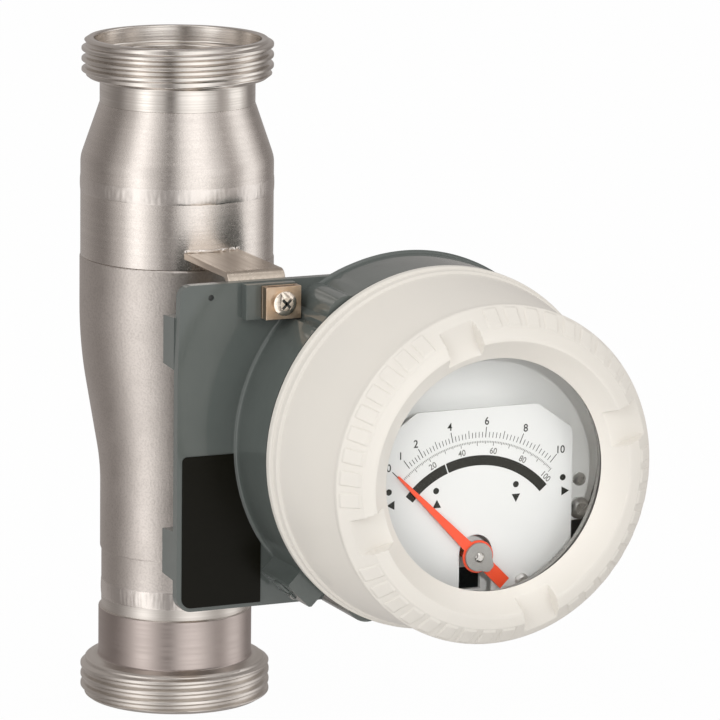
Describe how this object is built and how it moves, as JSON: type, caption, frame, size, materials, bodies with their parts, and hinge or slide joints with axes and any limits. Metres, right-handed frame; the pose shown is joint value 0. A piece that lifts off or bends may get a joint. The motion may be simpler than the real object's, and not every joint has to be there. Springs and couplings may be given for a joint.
{
  "type": "rotameter",
  "caption": "Metal-tube variable-area flowmeter with screwed unions, guided float and a round dial housing on two brackets.",
  "frame": {"origin": "centre of the inlet face, on the axis of the pipe run", "axes": "+Z along the pipe axis in the direction of flow, -Y towards somebody reading the dial, +X to the right of that reader"},
  "size_m": [0.1772, 0.2194, 0.2737],
  "materials": {
    "steel_machined": "turned stainless steel, satin with fine lathe marks",
    "steel_blasted": "glass-bead blasted stainless steel tube, satin, tinted along the welds",
    "steel_small": "bright stainless small part",
    "float_steel": "turned and welded stainless float",
    "magnet": "dark sintered magnet",
    "bracket_steel": "bent stainless strip, brushed, welded to the tube",
    "base_grey": "die-cast light alloy, dark grey gloss paint",
    "label_black": "glossy black name plate, left bare",
    "tin_plate": "tinned terminal plate",
    "seal_rubber": "black rubber",
    "bell_cream": "die-cast light alloy, cream powder coat",
    "glass": "flat hardened window glass",
    "movement_alu": "plain aluminium sheet and turned parts",
    "dial_white": "white lacquered sheet with printed black scales",
    "bearing_brass": "turned brass bush",
    "pointer_orange": "orange-red lacquered sheet",
    "hub_grey": "grey moulded hub disc"
  },
  "bodies": {
    "housing": {"inlet_coupling": "steel_machined", "outlet_coupling": "steel_machined", "inlet_pipe": "steel_blasted", "measuring_tube": "steel_blasted", "outlet_body": "steel_blasted", "outlet_reducer": "steel_blasted", "lower_guide": "steel_small", "upper_guide": "steel_small", "lower_snap_ring": "steel_small", "upper_snap_ring": "steel_small", "guide_rod": "steel_small", "rod_nuts": "steel_small", "lower_stop": "steel_small", "upper_stop": "steel_small", "upper_bracket": "bracket_steel", "lower_bracket": "bracket_steel", "bracket_screws": "steel_small", "housing_base": "base_grey", "blanking_plug": "base_grey", "name_plate": "label_black", "earth_clamp": "tin_plate", "earth_saddle": "tin_plate", "earth_screw": "steel_small", "housing_gasket": "seal_rubber", "bell": "bell_cream", "housing_screws": "steel_small", "movement_pillars": "steel_small", "carrier_plate": "movement_alu", "carrier_screws": "steel_small", "stop_screws": "steel_small", "dial_posts": "movement_alu", "dial_plate": "dial_white", "dial_screws": "steel_small", "rear_bearing": "bearing_brass", "front_bearing": "bearing_brass"},
    "float": {"float": "float_steel", "float_magnet": "magnet", "float_plug": "float_steel"},
    "pointer": {"pointer_shaft": "steel_small", "follower_magnet": "magnet", "pointer": "pointer_orange", "pointer_hub": "hub_grey", "hub_screw": "steel_small"},
    "cover_carrier": {"cover_seal": "seal_rubber"},
    "cover": {"cover": "bell_cream", "window_glass": "glass", "glass_gasket": "seal_rubber", "glass_retainer": "movement_alu"}
  },
  "joints": [
    {"name": "float_rise", "type": "slide", "parent": "housing", "child": "float", "axis": [0, 0, 1], "range_m": [0, 0.06]},
    {"name": "pointer_turn", "type": "hinge", "parent": "housing", "child": "pointer", "pos_m": [0.0627, -0.157, 0.0875], "axis": [0, 1, 0], "range_deg": [0, 90]},
    {"name": "cover_lift", "type": "slide", "parent": "housing", "child": "cover_carrier", "axis": [0, -1, 0], "range_m": [0, 0.009]},
    {"name": "cover_turn", "type": "hinge", "parent": "cover_carrier", "child": "cover", "pos_m": [0.0627, -0.17, 0.123], "axis": [0, -1, 0], "range_deg": [0, 1620]}
  ],
  "couplings": [
    {"joint": "pointer_turn", "follows": "float_rise", "rad_per_m": 26.18},
    {"joint": "cover_lift", "follows": "cover_turn", "m_per_rad": 0.00031831}
  ]
}
